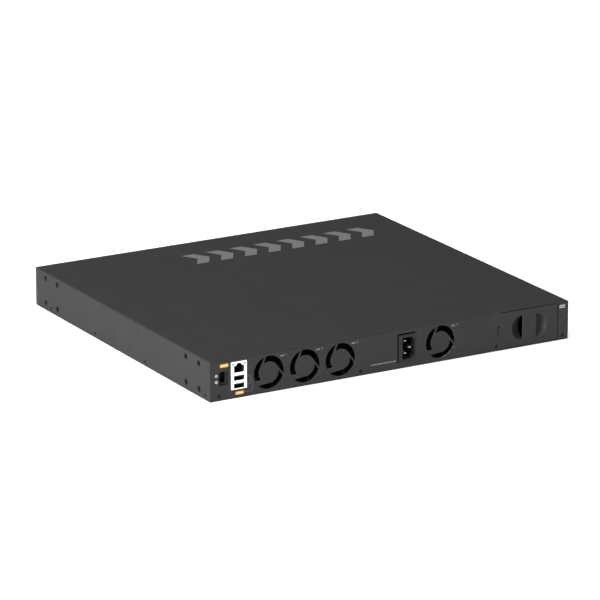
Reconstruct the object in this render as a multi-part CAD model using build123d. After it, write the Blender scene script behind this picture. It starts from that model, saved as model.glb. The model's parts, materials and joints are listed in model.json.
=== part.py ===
"""One-unit rackmount network switch, in millimetres.

The origin is on the middle of the underside. +Z is up, the ports face -Y, and the rear panel,
with the fans, the inlet and the supply bay, faces +Y.
"""
import os
from math import cos, radians, sin

from build123d import *

os.makedirs("parts", exist_ok=True)

# Overall size: the body between the rack ears, one rack unit high
BODY_W = 440.0
BODY_D = 402.0
BODY_H = 43.2
HALF_W = BODY_W / 2
REAR_Y = BODY_D / 2
FRONT_Y = -BODY_D / 2

# Sheet metal
COVER_T = 1.0
PAN_T = 1.2
PANEL_T = 1.2
BEZEL_T = 3.0
GAP = 0.2                              # clearance round a part in its cut-out
COVER_IN = HALF_W - COVER_T            # inner face of the cover's flanks
COVER_UNDER = BODY_H - COVER_T         # underside of the cover's top
PAN_IN = COVER_IN - PAN_T              # inner face of the pan's flanges
PANEL_IN_Y = REAR_Y - PANEL_T          # inner face of the rear panel
FRONT_PANEL_Y = FRONT_Y + BEZEL_T      # outer face of the front panel
FRONT_IN_Y = FRONT_PANEL_Y + PANEL_T

# Rack-ear bolts: two square groups of four on each flank
EAR_GROUP_Y = 162.5
EAR_Z = 22.0
EAR_PITCH = 28.0
EAR_HOLE_R = 3.3
EAR_THREAD_R = 2.0
EAR_NUT_R = 4.0
EAR_NUT_T = 3.0

# Small flat-head screws in the sheets
HEAD_R = 2.3
HEAD_HOLE_R = 2.4
SCREW_R = 1.5
COVER_SCREW_Y = (-163.5, -58.0, 57.5, 190.0)
SCREW_Z = 5.0
REAR_SCREW_X = (209.5, 39.5, -128.8, -213.0)
FRONT_SCREW_X = (-212.0, -28.5, 44.0, 212.0)

# Main board
BOARD_Z = 7.4
BOARD_T = 1.6
BOARD_TOP = BOARD_Z + BOARD_T
BOARD_EDGE_X = 214.0
BOARD_FRONT_Y = -194.0
STANDOFF_XY = (
    (-209, -160), (-120, -160), (0, -140), (110, -160), (209, -160),
    (-209, -10), (-105, -70), (-5, -10), (110, -10), (209, -10),
    (20, 140), (180, 140), (209, 100), (-209, -90), (40, -70),
)

# Fans: 40 mm square, 28 mm deep
FAN_SIZE = 40.0
FAN_DEPTH = 28.0
FAN_BORE_R = 18.6
FAN_HOLE_PITCH = 32.0
FAN_HOLE_R = 1.7
FAN_Z = 21.8
FAN_PITCH = 43.0
SYSTEM_FAN_X = [64.3 + FAN_PITCH * i for i in range(3)]
SYSTEM_FAN_Y = PANEL_IN_Y - 0.2        # rear face of the three system fans
PSU_FAN_X = -58.5
LEAD_SIDE = -21.5                      # leads run in the gap between two frames
LEAD_R = 1.1
LEAD_Z = 14.0
HEADER_Y = 144.0
HUB_R = 10.5
SHAFT_R = 1.5
BEARING_TUBE_R = 3.2
SHAFT_PLAY = 0.03
BLADES = 7
BLADE_R = 18.0

# Round grilles in the rear panel: a ring cut through, bridged by three arms
GRILLE_IN_R = 11.6
GRILLE_OUT_R = 18.0
GRILLE_ARMS = ((36, 1.6), (156, 1.6), (-84, 5.6))   # direction of the arm's normal, width

# Service ports
STACK_X = (176.5, 195.3)
STACK_Z = (9.3, 39.5)
STACK_Y = (170.0, REAR_Y - 0.2)
STACK_PORT_X = 185.65
JACK_W = 11.9
STACK_JACK_Z = (27.6, 35.0)
USB_W = 12.2
USB_H = 5.2
USB_Z = (21.6, 13.2)
SHELL_T = 0.4
CONSOLE_WINDOW_X = (198.2, 209.5)
CONSOLE_WINDOW_Z = (16.3, 31.5)
CONSOLE_FACE_Y = REAR_Y - 3.0
CONSOLE_CAVITY_X = (200.4, 207.4)
CONSOLE_CAVITY_Z = (18.0, 29.9)
LIGHT_X = 212.7
LIGHT_Z = (20.7, 27.4)
LIGHT_R = 1.7

# Fixed supply and its inlet
PSU_X = (-82.0, -5.0)
PSU_Y = (10.0, PANEL_IN_Y - 1.4)
PSU_Z = (PAN_T, 41.0)
PSU_T = 1.0
PSU_BOARD_Z = (5.6, 7.2)
INLET_WINDOW_X = (-29.3, -5.3)
INLET_WINDOW_Z = (6.5, 38.3)
INLET_X = -19.6
INLET_Z = 21.3
INLET_CAVITY = (15.8, 24.0)
INLET_CHAMFER = 4.5
INLET_BODY = (18.6, 27.8)
INLET_FLANGE_X = (-29.1, -7.0)
INLET_FLANGE_Z = (6.7, 36.5)
INLET_PIN_PITCH = 14.0

# Bay for a second supply, and its blank
BAY_OPENING_X = (-207.6, -133.9)
BLANK_X = (-206.3, -134.0)
BLANK_Z = (1.5, 41.4)
BLANK_DEPTH = 55.0
BLANK_T = 1.0
TAB_W = 2.6
TAB_Z = (17.2, 26.0)
NOTCH_W = 3.8                          # notch of the rear panel that takes the blank's tab
NOTCH_Z = (16.4, 27.0)
PULL_R = 13.5
PULL_DEPTH = 9.0
PULL_Z = 21.7
PULL_BAR_X = (-178.8, -161.8)
CAGE_X = (-208.8, -132.6)
CAGE_T = 0.8
CAGE_Y = (15.0, PANEL_IN_Y - PAN_T)

# Front: copper port gangs, optical cage, lights and buttons
GANG_X = (-158.0, -96.0)               # left edge of each gang
GANG_COLUMNS = 4
JACK_PITCH = 14.0
GANG_W = GANG_COLUMNS * JACK_PITCH + 2.0
GANG_Z = (BOARD_TOP, 36.0)
PORT_FACE_Y = FRONT_Y + 1.0            # port mouths stand 1 mm inside the bezel's face
GANG_DEPTH = 25.0
JACK_H = 7.0
LOWER_JACK_Z = 12.6
UPPER_JACK_Z = 25.4
JACK_DEPTH = 15.0
SFP_X = -24.0
SFP_COLUMNS = 4
SFP_PITCH = 15.0
SFP_WALL = 0.7
SFP_H = 9.3
SFP_W = SFP_COLUMNS * SFP_PITCH + SFP_WALL
SFP_Z = (BOARD_TOP, 34.6)
SFP_ROW_Z = (9.6, 24.7)
SFP_LIGHT_ROW_Z = (19.6, 24.0)
SFP_DEPTH = 48.0
BUTTON_X = {"mode_button": -206.0, "reset_button": -194.0}
BUTTON_R = {"mode_button": 3.0, "reset_button": 1.6}
BUTTON_FACE_Y = {"mode_button": FRONT_Y + 0.4, "reset_button": FRONT_Y + 1.4}
BUTTON_Z = 14.0
BUTTON_GAP = 0.15
BUTTON_STEM_R = 1.2
SWITCH_Y = -191.0
STATUS_LIGHT_X = [-208.0 + 7.0 * i for i in range(6)]
STATUS_LIGHT_Z = 28.0
STATUS_LIGHT_R = 1.4
SLOT_X = [52.0 + 6.0 * i for i in range(27)]
SLOT_W = 3.0
SLOT_Z = (10.0, 35.0)


def block(x, y, z):
    """Box between three (low, high) ranges."""
    size = Box(abs(x[1] - x[0]), abs(y[1] - y[0]), abs(z[1] - z[0]))
    return Pos((x[0] + x[1]) / 2, (y[0] + y[1]) / 2, (z[0] + z[1]) / 2) * size


def rod_x(x, y, z, radius):
    return Pos((x[0] + x[1]) / 2, y, z) * Rot(0, 90, 0) * Cylinder(radius, abs(x[1] - x[0]))


def rod_y(x, y, z, radius):
    return Pos(x, (y[0] + y[1]) / 2, z) * Rot(90, 0, 0) * Cylinder(radius, abs(y[1] - y[0]))


def rod_z(x, y, z, radius):
    return Pos(x, y, (z[0] + z[1]) / 2) * Cylinder(radius, abs(z[1] - z[0]))


def around(centre, width):
    """Range of a width about a centre."""
    return (centre - width / 2, centre + width / 2)


def widened(ends, slack):
    """Range with the same slack added at both ends."""
    return (ends[0] - slack, ends[1] + slack)


def save(name, solids):
    """Write one node: a solid, or a group of separate solids."""
    shape = Compound(solids) if isinstance(solids, list) else solids
    export_step(shape, f"parts/{name}.step")


def ear_holes():
    """The (y, z) places of the rack-ear bolts on one flank."""
    half = EAR_PITCH / 2
    return [
        (side * EAR_GROUP_Y + dy, EAR_Z + dz)
        for side in (-1, 1)
        for dy in (-half, half)
        for dz in (-half, half)
    ]


# Case

def base_pan():
    floor_y = (FRONT_IN_Y, PANEL_IN_Y)
    pan = block((-COVER_IN, COVER_IN), floor_y, (0, PAN_T))
    for side in (-1, 1):
        pan += block((side * PAN_IN, side * COVER_IN), floor_y, (0, 40.0))
    for x in REAR_SCREW_X:
        lug = block(around(x, 9), (PANEL_IN_Y - PAN_T, PANEL_IN_Y), (0, 9.0))
        pan += lug - rod_y(x, (PANEL_IN_Y - 3, PANEL_IN_Y), SCREW_Z, SCREW_R)
    for x in FRONT_SCREW_X:
        lug = block(around(x, 8), (FRONT_IN_Y, FRONT_IN_Y + PAN_T), (0, 7.2))
        pan += lug - rod_y(x, (FRONT_IN_Y, FRONT_IN_Y + 3), SCREW_Z, SCREW_R)
    cuts = [rod_x((-COVER_IN, COVER_IN), y, z, EAR_HOLE_R) for y, z in ear_holes()]
    cuts += [rod_x((-COVER_IN, COVER_IN), y, SCREW_Z, SCREW_R) for y in COVER_SCREW_Y]
    return pan - cuts


def top_cover():
    sheet = block((-HALF_W, HALF_W), (FRONT_PANEL_Y, REAR_Y), (0, BODY_H))
    sheet -= block((-COVER_IN, COVER_IN), (FRONT_PANEL_Y, REAR_Y), (0, COVER_UNDER))
    cuts = [rod_x((-HALF_W, HALF_W), y, z, EAR_HOLE_R) for y, z in ear_holes()]
    cuts += [rod_x((-HALF_W, HALF_W), y, SCREW_Z, HEAD_HOLE_R) for y in COVER_SCREW_Y]
    locating_y = (FRONT_PANEL_Y + 1.5, FRONT_PANEL_Y + 3.5)
    cuts.append(block((-HALF_W, HALF_W), locating_y, around(EAR_Z, 3.0)))
    return sheet - cuts


def cover_screws():
    screws = []
    for side in (-1, 1):
        for y in COVER_SCREW_Y:
            head = rod_x((side * COVER_IN, side * (HALF_W - 0.1)), y, SCREW_Z, HEAD_R)
            shank = rod_x((side * (PAN_IN - 3), side * COVER_IN), y, SCREW_Z, SCREW_R)
            screws.append(head + shank)
    return screws


def panel_screws():
    screws = []
    for x in REAR_SCREW_X:
        head = rod_y(x, (PANEL_IN_Y, REAR_Y - 0.1), SCREW_Z, HEAD_R)
        screws.append(head + rod_y(x, (PANEL_IN_Y - 4, PANEL_IN_Y), SCREW_Z, SCREW_R))
    for x in FRONT_SCREW_X:
        head = rod_y(x, (FRONT_PANEL_Y + 0.1, FRONT_IN_Y), SCREW_Z, HEAD_R)
        screws.append(head + rod_y(x, (FRONT_IN_Y, FRONT_IN_Y + 2.2), SCREW_Z, SCREW_R))
    return screws


def ear_nuts():
    nuts = []
    for side in (-1, 1):
        x = (side * (PAN_IN - EAR_NUT_T), side * PAN_IN)
        for y, z in ear_holes():
            nuts.append(rod_x(x, y, z, EAR_NUT_R) - rod_x(x, y, z, EAR_THREAD_R))
    return nuts


def grille(x):
    """Ring-shaped air opening, drawn as seen from behind and cut through the rear panel."""
    face = Plane(origin=(x, REAR_Y + 1, FAN_Z), x_dir=(-1, 0, 0), z_dir=(0, 1, 0))
    ring = Circle(GRILLE_OUT_R) - Circle(GRILLE_IN_R)
    for normal, width in GRILLE_ARMS:
        across = GRILLE_IN_R - width / 2
        along = GRILLE_OUT_R / 2 + 1
        run = normal - 90
        centre_x = across * cos(radians(normal)) + along * cos(radians(run))
        centre_y = across * sin(radians(normal)) + along * sin(radians(run))
        ring -= Pos(centre_x, centre_y) * Rot(0, 0, run) * Rectangle(GRILLE_OUT_R + 2, width)
    return extrude(face * ring, amount=-(PANEL_T + 2))


def rear_panel():
    panel = block((-COVER_IN, COVER_IN), (PANEL_IN_Y, REAR_Y), (0, COVER_UNDER))
    through = (PANEL_IN_Y - 1, REAR_Y + 1)
    cuts = [grille(x) for x in SYSTEM_FAN_X + [PSU_FAN_X]]
    cuts.append(block(widened(STACK_X, GAP), through, widened(STACK_Z, GAP)))
    cuts.append(block(CONSOLE_WINDOW_X, through, CONSOLE_WINDOW_Z))
    cuts.append(block(INLET_WINDOW_X, through, INLET_WINDOW_Z))
    cuts.append(block(BAY_OPENING_X, through, (PAN_T, COVER_UNDER)))
    cuts.append(block((BLANK_X[1], BLANK_X[1] + NOTCH_W), through, NOTCH_Z))
    cuts += [rod_y(LIGHT_X, through, z, LIGHT_R + 0.1) for z in LIGHT_Z]
    cuts += [rod_y(x, through, SCREW_Z, HEAD_HOLE_R) for x in REAR_SCREW_X]
    return panel - cuts


def front_cuts(y, slack):
    """Cut-outs that the front panel and the bezel share."""
    cuts = []
    for x in GANG_X:
        cuts.append(block(widened((x, x + GANG_W), slack), y, widened(GANG_Z, slack)))
    cuts.append(block(widened((SFP_X, SFP_X + SFP_W), slack), y, widened(SFP_Z, slack)))
    cuts += [rod_y(x, y, STATUS_LIGHT_Z, STATUS_LIGHT_R + slack) for x in STATUS_LIGHT_X]
    cuts += [rod_y(BUTTON_X[name], y, BUTTON_Z, BUTTON_R[name] + BUTTON_GAP) for name in BUTTON_X]
    return cuts


def front_panel():
    y = (FRONT_PANEL_Y, FRONT_IN_Y)
    panel = block((-COVER_IN, COVER_IN), y, (0, COVER_UNDER))
    cuts = front_cuts(y, GAP)
    cuts += [block(around(x, SLOT_W), y, SLOT_Z) for x in SLOT_X]
    cuts += [rod_y(x, y, SCREW_Z, HEAD_HOLE_R) for x in FRONT_SCREW_X]
    return panel - cuts


def front_bezel():
    y = (FRONT_Y, FRONT_PANEL_Y)
    bezel = block((-HALF_W, HALF_W), y, (0, BODY_H))
    bezel = fillet(bezel.edges().filter_by(Axis.Y), 1.0)
    vent = block((SLOT_X[0] - 4, SLOT_X[-1] + 4), y, (SLOT_Z[0] - 2, SLOT_Z[1] + 2))
    return bezel - (front_cuts(y, 0.3) + [vent])


# Board and what stands on it

def standoffs():
    return [
        rod_z(x, y, (PAN_T, BOARD_Z), 3.0) - rod_z(x, y, (PAN_T, BOARD_Z), SCREW_R)
        for x, y in STANDOFF_XY
    ]


def board_screws():
    return [
        rod_z(x, y, (BOARD_TOP, BOARD_TOP + 1.8), 2.8) + rod_z(x, y, (3.0, BOARD_TOP), SCREW_R)
        for x, y in STANDOFF_XY
    ]


def mainboard():
    edge = BOARD_EDGE_X
    outline = Polyline(
        (-edge, BOARD_FRONT_Y), (edge, BOARD_FRONT_Y), (edge, 196), (172, 196),
        (172, 150), (0, 150), (0, 5), (-edge, 5), close=True,
    )
    board = Pos(0, 0, BOARD_Z) * extrude(make_face(outline), amount=BOARD_T)
    return board - [rod_z(x, y, (BOARD_Z, BOARD_TOP), SCREW_R) for x, y in STANDOFF_XY]


def chip(x, y, size, height):
    return block(around(x, size), around(y, size), (BOARD_TOP, BOARD_TOP + height))


def heatsink(x, y, size, seat_z, height, fins):
    """Finned block standing on a chip, its fins running front to back."""
    base_h = 4.0
    sink = block(around(x, size), around(y, size), (seat_z, seat_z + base_h))
    pitch = (size - 1.2) / (fins - 1)
    for i in range(fins):
        fin_x = x - size / 2 + 0.6 + pitch * i
        sink += block(around(fin_x, 1.2), around(y, size), (seat_z, seat_z + height))
    return sink


def capacitors():
    places = [(-200 + 12 * i, -20) for i in range(6)] + [(150, 20 + 12 * i) for i in range(5)]
    return [rod_z(x, y, (BOARD_TOP, BOARD_TOP + 12), 4.0) for x, y in places]


def inductors():
    return [
        block(around(-200 + 14 * i, 10), around(-36, 10), (BOARD_TOP, BOARD_TOP + 5))
        for i in range(6)
    ]


# Front ports

def jack_mouth(x, y, upper, height=JACK_H):
    """Mouth of a modular jack, its stepped latch notch up in the top row and down in the low one."""
    low = UPPER_JACK_Z if upper else LOWER_JACK_Z
    mouth = block(around(x, JACK_W), y, (low, low + height))
    step = 1 if upper else -1
    edge = low + height if upper else low
    mouth += block(around(x, 6.6), y, sorted((edge, edge + step * 1.3)))
    return mouth + block(around(x, 4.2), y, sorted((edge, edge + step * 2.5)))


def jack_places(gang_x):
    """Centre X and row of every jack in one gang."""
    first = gang_x + 1.0 + JACK_PITCH / 2
    return [(first + JACK_PITCH * i, upper) for i in range(GANG_COLUMNS) for upper in (False, True)]


def gang_light_boxes(gang_x, y, slack):
    """Light windows between the two rows, two to each column."""
    boxes = []
    for x, upper in jack_places(gang_x):
        centre = x + (3.4 if upper else -3.4)
        boxes.append(block(around(centre, 2.6 + slack), y, (21.4 - slack / 2, 23.6 + slack / 2)))
    return boxes


def gang_shell(gang_x):
    y = (PORT_FACE_Y, PORT_FACE_Y + GANG_DEPTH)
    shell = block((gang_x, gang_x + GANG_W), y, GANG_Z)
    inner_y = (y[0] + SHELL_T, y[1] - SHELL_T)
    inner_x = (gang_x + SHELL_T, gang_x + GANG_W - SHELL_T)
    shell -= block(inner_x, inner_y, (GANG_Z[0], GANG_Z[1] - SHELL_T))
    face_y = (y[0], inner_y[0])
    cuts = [jack_mouth(x, face_y, upper) for x, upper in jack_places(gang_x)]
    return shell - (cuts + gang_light_boxes(gang_x, face_y, 0.2))


def gang_housing(gang_x):
    y = (PORT_FACE_Y + SHELL_T, PORT_FACE_Y + GANG_DEPTH - SHELL_T)
    x = (gang_x + SHELL_T, gang_x + GANG_W - SHELL_T)
    housing = block(x, y, (GANG_Z[0], GANG_Z[1] - SHELL_T))
    cavity_y = (y[0], y[0] + JACK_DEPTH)
    cuts = [jack_mouth(jack_x, cavity_y, upper) for jack_x, upper in jack_places(gang_x)]
    return housing - (cuts + gang_light_boxes(gang_x, (y[0], y[0] + 8.2), 0.2))


def contact_set(x, upper):
    """Eight spring wires on one carrier, on the cavity wall opposite the latch notch."""
    wall = UPPER_JACK_Z if upper else LOWER_JACK_Z + JACK_H
    into = 1 if upper else -1
    back = PORT_FACE_Y + SHELL_T + JACK_DEPTH
    carrier = block(around(x, 9.6), (back - 1.4, back), sorted((wall, wall + into * 3.6)))
    for i in range(8):
        wire_x = x + 1.02 * (i - 3.5)
        wire = Box(0.46, 9.0, 0.4)
        tilt = Rot(-into * 14, 0, 0)
        carrier += Pos(wire_x, back - 5.6, wall + into * 2.3) * tilt * wire
    return carrier


def port_lights():
    lights = []
    for gang_x in GANG_X:
        lights += gang_light_boxes(gang_x, (PORT_FACE_Y, PORT_FACE_Y + 8.0), 0.0)
    for i in range(2 * SFP_COLUMNS):
        x = SFP_X + SFP_WALL + SFP_PITCH * (i // 2) + (4.6 if i % 2 else 9.7)
        lights.append(rod_y(x, (PORT_FACE_Y, PORT_FACE_Y + 30), 21.8, 1.2))
    return lights


def sfp_slots(y):
    """Openings of the optical cage, four columns in two rows."""
    return [
        block(
            (SFP_X + SFP_WALL + SFP_PITCH * i, SFP_X + SFP_PITCH * (i + 1)),
            y,
            (row_z, row_z + SFP_H),
        )
        for i in range(SFP_COLUMNS)
        for row_z in SFP_ROW_Z
    ]


def sfp_cage():
    y = (PORT_FACE_Y, PORT_FACE_Y + SFP_DEPTH)
    cage = block((SFP_X, SFP_X + SFP_W), y, SFP_Z)
    inner_x = (SFP_X + SFP_WALL, SFP_X + SFP_W - SFP_WALL)
    inner_y = (y[0], y[1] - SFP_WALL)
    return cage - (sfp_slots(inner_y) + [block(inner_x, inner_y, SFP_LIGHT_ROW_Z)])


def sfp_connectors():
    """Edge connector at the inner end of every slot."""
    end = PORT_FACE_Y + SFP_DEPTH - SFP_WALL
    connectors = []
    for i in range(SFP_COLUMNS):
        x = SFP_X + SFP_WALL / 2 + SFP_PITCH * (i + 0.5)
        for row_z in SFP_ROW_Z:
            body = block(around(x, 11.2), (end - 9, end), (row_z, row_z + 7.0))
            mouth = block(around(x, 9.6), (end - 9, end - 3), (row_z + 3.2, row_z + 4.4))
            connectors.append(body - mouth)
    return connectors


def status_lights():
    """Six round light pipes joined by one bar that stands on the board."""
    bar_y = (FRONT_IN_Y + 3.5, FRONT_IN_Y + 6.0)
    part = block((STATUS_LIGHT_X[0] - 2, STATUS_LIGHT_X[-1] + 2), bar_y, (26.0, 30.0))
    for x in (sum(BUTTON_X.values()) / 2, STATUS_LIGHT_X[-1] + 0.5):
        part += block(around(x, 3), bar_y, (BOARD_TOP, 30.0))
    for x in STATUS_LIGHT_X:
        part += rod_y(x, (FRONT_Y + 0.3, bar_y[1]), STATUS_LIGHT_Z, STATUS_LIGHT_R)
    return part


def button(name):
    """Round cap with a shoulder behind the front panel and a stem that reaches its switch."""
    x = BUTTON_X[name]
    cap = rod_y(x, (BUTTON_FACE_Y[name], FRONT_IN_Y + 1.4), BUTTON_Z, BUTTON_R[name])
    cap = fillet(cap.edges().sort_by(Axis.Y)[0], 0.5)
    shoulder = rod_y(x, (FRONT_IN_Y + 0.2, FRONT_IN_Y + 1.4), BUTTON_Z, BUTTON_R[name] + 1.2)
    return cap + shoulder + rod_y(x, (FRONT_IN_Y + 1.4, SWITCH_Y - 2.2), BUTTON_Z, BUTTON_STEM_R)


def tact_switches():
    switches = []
    for x in BUTTON_X.values():
        body = block(around(x, 6), (SWITCH_Y, SWITCH_Y + 3.6), (BOARD_TOP, BOARD_TOP + 8))
        switches.append(body + rod_y(x, (SWITCH_Y - 1.0, SWITCH_Y), BUTTON_Z, 1.6))
    return switches


# Service ports at the rear

def stack_jack(y):
    x = STACK_PORT_X
    mouth = block(around(x, JACK_W), y, STACK_JACK_Z)
    mouth += block(around(x, 6.9), y, (STACK_JACK_Z[1], STACK_JACK_Z[1] + 1.4))
    return mouth + block(around(x, 4.6), y, (STACK_JACK_Z[1], STACK_JACK_Z[1] + 2.7))


def usb_mouth(z, y):
    return block(around(STACK_PORT_X, USB_W), y, around(z, USB_H))


def stack_light_boxes(y, slack):
    low = STACK_JACK_Z[1] + 0.6 - slack
    return [
        block(around(STACK_PORT_X + side * 6.6, 3.2 + slack), y, (low, low + 2.4 + 2 * slack))
        for side in (-1, 1)
    ]


def service_port_shell():
    shell = block(STACK_X, STACK_Y, STACK_Z)
    inner_x = (STACK_X[0] + SHELL_T, STACK_X[1] - SHELL_T)
    inner_y = (STACK_Y[0] + SHELL_T, STACK_Y[1] - SHELL_T)
    shell -= block(inner_x, inner_y, (STACK_Z[0], STACK_Z[1] - SHELL_T))
    face = (inner_y[1], STACK_Y[1])
    cuts = [stack_jack(face)] + [usb_mouth(z, face) for z in USB_Z]
    return shell - (cuts + stack_light_boxes(face, 0.1))


def service_port_housing():
    x = (STACK_X[0] + SHELL_T, STACK_X[1] - SHELL_T)
    y = (STACK_Y[0] + SHELL_T, STACK_Y[1] - SHELL_T)
    core = block(x, y, (STACK_Z[0], STACK_Z[1] - SHELL_T))
    cuts = [stack_jack((y[1] - JACK_DEPTH, y[1]))]
    cuts += [usb_mouth(z, (y[1] - 13, y[1])) for z in USB_Z]
    return core - (cuts + stack_light_boxes((y[1] - 6.0, y[1]), 0.1))


def usb_tongues():
    end = STACK_Y[1] - SHELL_T
    return [block(around(STACK_PORT_X, 10.2), (end - 13, end - 2.4), (z + 0.2, z + 2.0)) for z in USB_Z]


def contact_comb(face_y, x, z, upright):
    """Eight wires on a carrier at the back of a rear jack, lying flat or turned on its side."""
    back = face_y - JACK_DEPTH
    comb = Box(9.6, 1.4, 3.2)
    for i in range(8):
        comb += Pos(1.02 * (i - 3.5), 5.0, 0.2) * Rot(14, 0, 0) * Box(0.46, 9.0, 0.4)
    turn = Rot(0, 90, 0) if upright else Rot(0, 0, 0)
    return Pos(x, back + 0.7, z) * turn * comb


def console_jack():
    y = (176.0, CONSOLE_FACE_Y)
    body = block((CONSOLE_WINDOW_X[0] - 0.8, CONSOLE_WINDOW_X[1] + 0.6), y, (BOARD_TOP, 33.0))
    cavity_y = (y[1] - JACK_DEPTH, y[1])
    cavity = block(CONSOLE_CAVITY_X, cavity_y, CONSOLE_CAVITY_Z)
    cavity += block((CONSOLE_CAVITY_X[1], CONSOLE_CAVITY_X[1] + 1.4), cavity_y, (20.6, 27.2))
    return body - cavity


def jack_contacts():
    stack = contact_comb(STACK_Y[1] - SHELL_T, STACK_PORT_X, STACK_JACK_Z[0] + 1.6, False)
    console_z = sum(CONSOLE_CAVITY_Z) / 2
    console = contact_comb(CONSOLE_FACE_Y, CONSOLE_CAVITY_X[0] + 1.6, console_z, True)
    return [stack, console]


def rear_lights():
    """Two round light pipes on one foot that stands on the board."""
    foot_y = (184.0, 190.0)
    part = block((LIGHT_X - 1.3, LIGHT_X + 1.3), foot_y, (BOARD_TOP, LIGHT_Z[1] + 1.4))
    for z in LIGHT_Z:
        part += rod_y(LIGHT_X, (foot_y[0], REAR_Y - 0.1), z, LIGHT_R)
    return part


# Fans

def fan_corners():
    """Offsets of a fan's four corner holes from its axis."""
    half = FAN_HOLE_PITCH / 2
    return [(dx, dz) for dx in (-half, half) for dz in (-half, half)]


def fan_frame(x, rear_y):
    """Square frame with a round duct, thinned between its flanges, and four struts to a cup."""
    front_y = rear_y - FAN_DEPTH
    frame = block(around(x, FAN_SIZE), (front_y, rear_y), around(FAN_Z, FAN_SIZE))
    waist_y = (front_y + 4.0, rear_y - 4.0)
    waist = block(around(x, FAN_SIZE), waist_y, around(FAN_Z, FAN_SIZE))
    frame -= waist - rod_y(x, waist_y, FAN_Z, FAN_SIZE / 2)
    frame -= rod_y(x, (front_y, rear_y), FAN_Z, FAN_BORE_R)
    for dx, dz in fan_corners():
        frame -= rod_y(x + dx, (front_y, rear_y), FAN_Z + dz, FAN_HOLE_R)
    struts_y = (rear_y - 2.6, rear_y - 0.6)
    for turn in (20, 110):
        arm = Box(2 * FAN_BORE_R + 0.6, 2.0, 2.2)
        frame += Pos(x, sum(struts_y) / 2, FAN_Z) * Rot(0, turn, 0) * arm
    frame += rod_y(x, struts_y, FAN_Z, HUB_R)
    frame += rod_y(x, (rear_y - 14, struts_y[0]), FAN_Z, BEARING_TUBE_R)
    return frame - rod_y(x, (rear_y - 14, rear_y - 4), FAN_Z, SHAFT_R + SHAFT_PLAY)


def fan_stator(x, rear_y):
    """Wound core on the bearing tube, inside the rotor's cup."""
    y = (rear_y - 13.0, rear_y - 4.6)
    core = rod_y(x, y, FAN_Z, 7.6)
    for turn in range(0, 360, 90):
        slot = Pos(x, sum(y) / 2, FAN_Z) * Rot(0, turn + 45, 0) * Pos(6.6, 0, 0) * Box(3.4, 8.4, 2.4)
        core -= slot
    return core - rod_y(x, y, FAN_Z, BEARING_TUBE_R)


def fan_rotor(x, rear_y):
    """Cupped hub with its shaft and seven pitched blades."""
    hub_y = (rear_y - 24.0, rear_y - 3.4)
    hub = rod_y(x, hub_y, FAN_Z, HUB_R)
    hub -= rod_y(x, (hub_y[0] + 2.0, hub_y[1]), FAN_Z, HUB_R - 1.6)
    hub += rod_y(x, (hub_y[0] + 1.0, rear_y - 4.4), FAN_Z, SHAFT_R)
    centre_y = rear_y - 14.0
    reach_y = (rear_y - 26, rear_y - 3)
    reach = rod_y(x, reach_y, FAN_Z, BLADE_R) - rod_y(x, reach_y, FAN_Z, HUB_R - 0.8)
    for i in range(BLADES):
        plate = Pos(BLADE_R / 2 + 5, 0, 0) * Rot(38, 0, 0) * Box(BLADE_R, 17.0, 1.2)
        blade = Pos(x, centre_y, FAN_Z) * Rot(0, 360 * i / BLADES, 0) * plate
        hub += blade & reach
    return hub


def fan_bracket():
    """Upright plate in front of the three system fans, with a foot screwed to the pan."""
    face_y = SYSTEM_FAN_Y - FAN_DEPTH
    x = (SYSTEM_FAN_X[0] + LEAD_SIDE - 2.5, SYSTEM_FAN_X[-1] + 21.4)
    plate = block(x, (face_y - PAN_T, face_y), (PAN_T, 41.8))
    plate += block(x, (face_y - 13, face_y), (PAN_T, 2 * PAN_T))
    through = (face_y - PAN_T, face_y)
    for fan_x in SYSTEM_FAN_X:
        plate -= rod_y(fan_x, through, FAN_Z, FAN_BORE_R)
        plate -= rod_y(fan_x + LEAD_SIDE, through, LEAD_Z, LEAD_R)
        for dx, dz in fan_corners():
            plate -= rod_y(fan_x + dx, through, FAN_Z + dz, FAN_HOLE_R)
    return plate


def fan_screws():
    """Long screws in the fans' corner holes, headed on the bracket or on the supply's fan."""
    screws = []
    faces = [(x, SYSTEM_FAN_Y - FAN_DEPTH - PAN_T, 20.0) for x in SYSTEM_FAN_X]
    faces.append((PSU_FAN_X, PSU_Y[1] - PSU_T - FAN_DEPTH, FAN_DEPTH + PSU_T))
    for x, face_y, length in faces:
        for dx, dz in fan_corners():
            head = rod_y(x + dx, (face_y - 1.6, face_y), FAN_Z + dz, 2.8)
            screws.append(head + rod_y(x + dx, (face_y, face_y + length), FAN_Z + dz, FAN_HOLE_R))
    return screws


def fan_headers():
    return [
        block(around(x + LEAD_SIDE, 8), (138.0, HEADER_Y), (BOARD_TOP, BOARD_TOP + 6.5))
        for x in SYSTEM_FAN_X
    ]


def fan_leads():
    """Lead of each system fan, from beside its frame through the bracket to its header."""
    leads = []
    for fan_x in SYSTEM_FAN_X:
        x = fan_x + LEAD_SIDE
        route = [(x, 173.6, LEAD_Z), (x, 161.5, LEAD_Z), (x, 153.0, 11.9), (x, HEADER_Y, 11.9)]
        path = FilletPolyline(*route, radius=[30.0, 30.0])
        section = Plane(origin=path @ 0, z_dir=path % 0) * Circle(LEAD_R)
        leads.append(sweep(section, path=path))
    return leads


# Fixed supply

def psu_fan_relief(low, high):
    """Cut-out that lets the supply's fan stand through its floor or its cover."""
    rear_y = PSU_Y[1] - PSU_T
    return block(around(PSU_FAN_X, FAN_SIZE + 0.4), (rear_y - FAN_DEPTH - 0.2, rear_y), (low, high))


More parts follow.
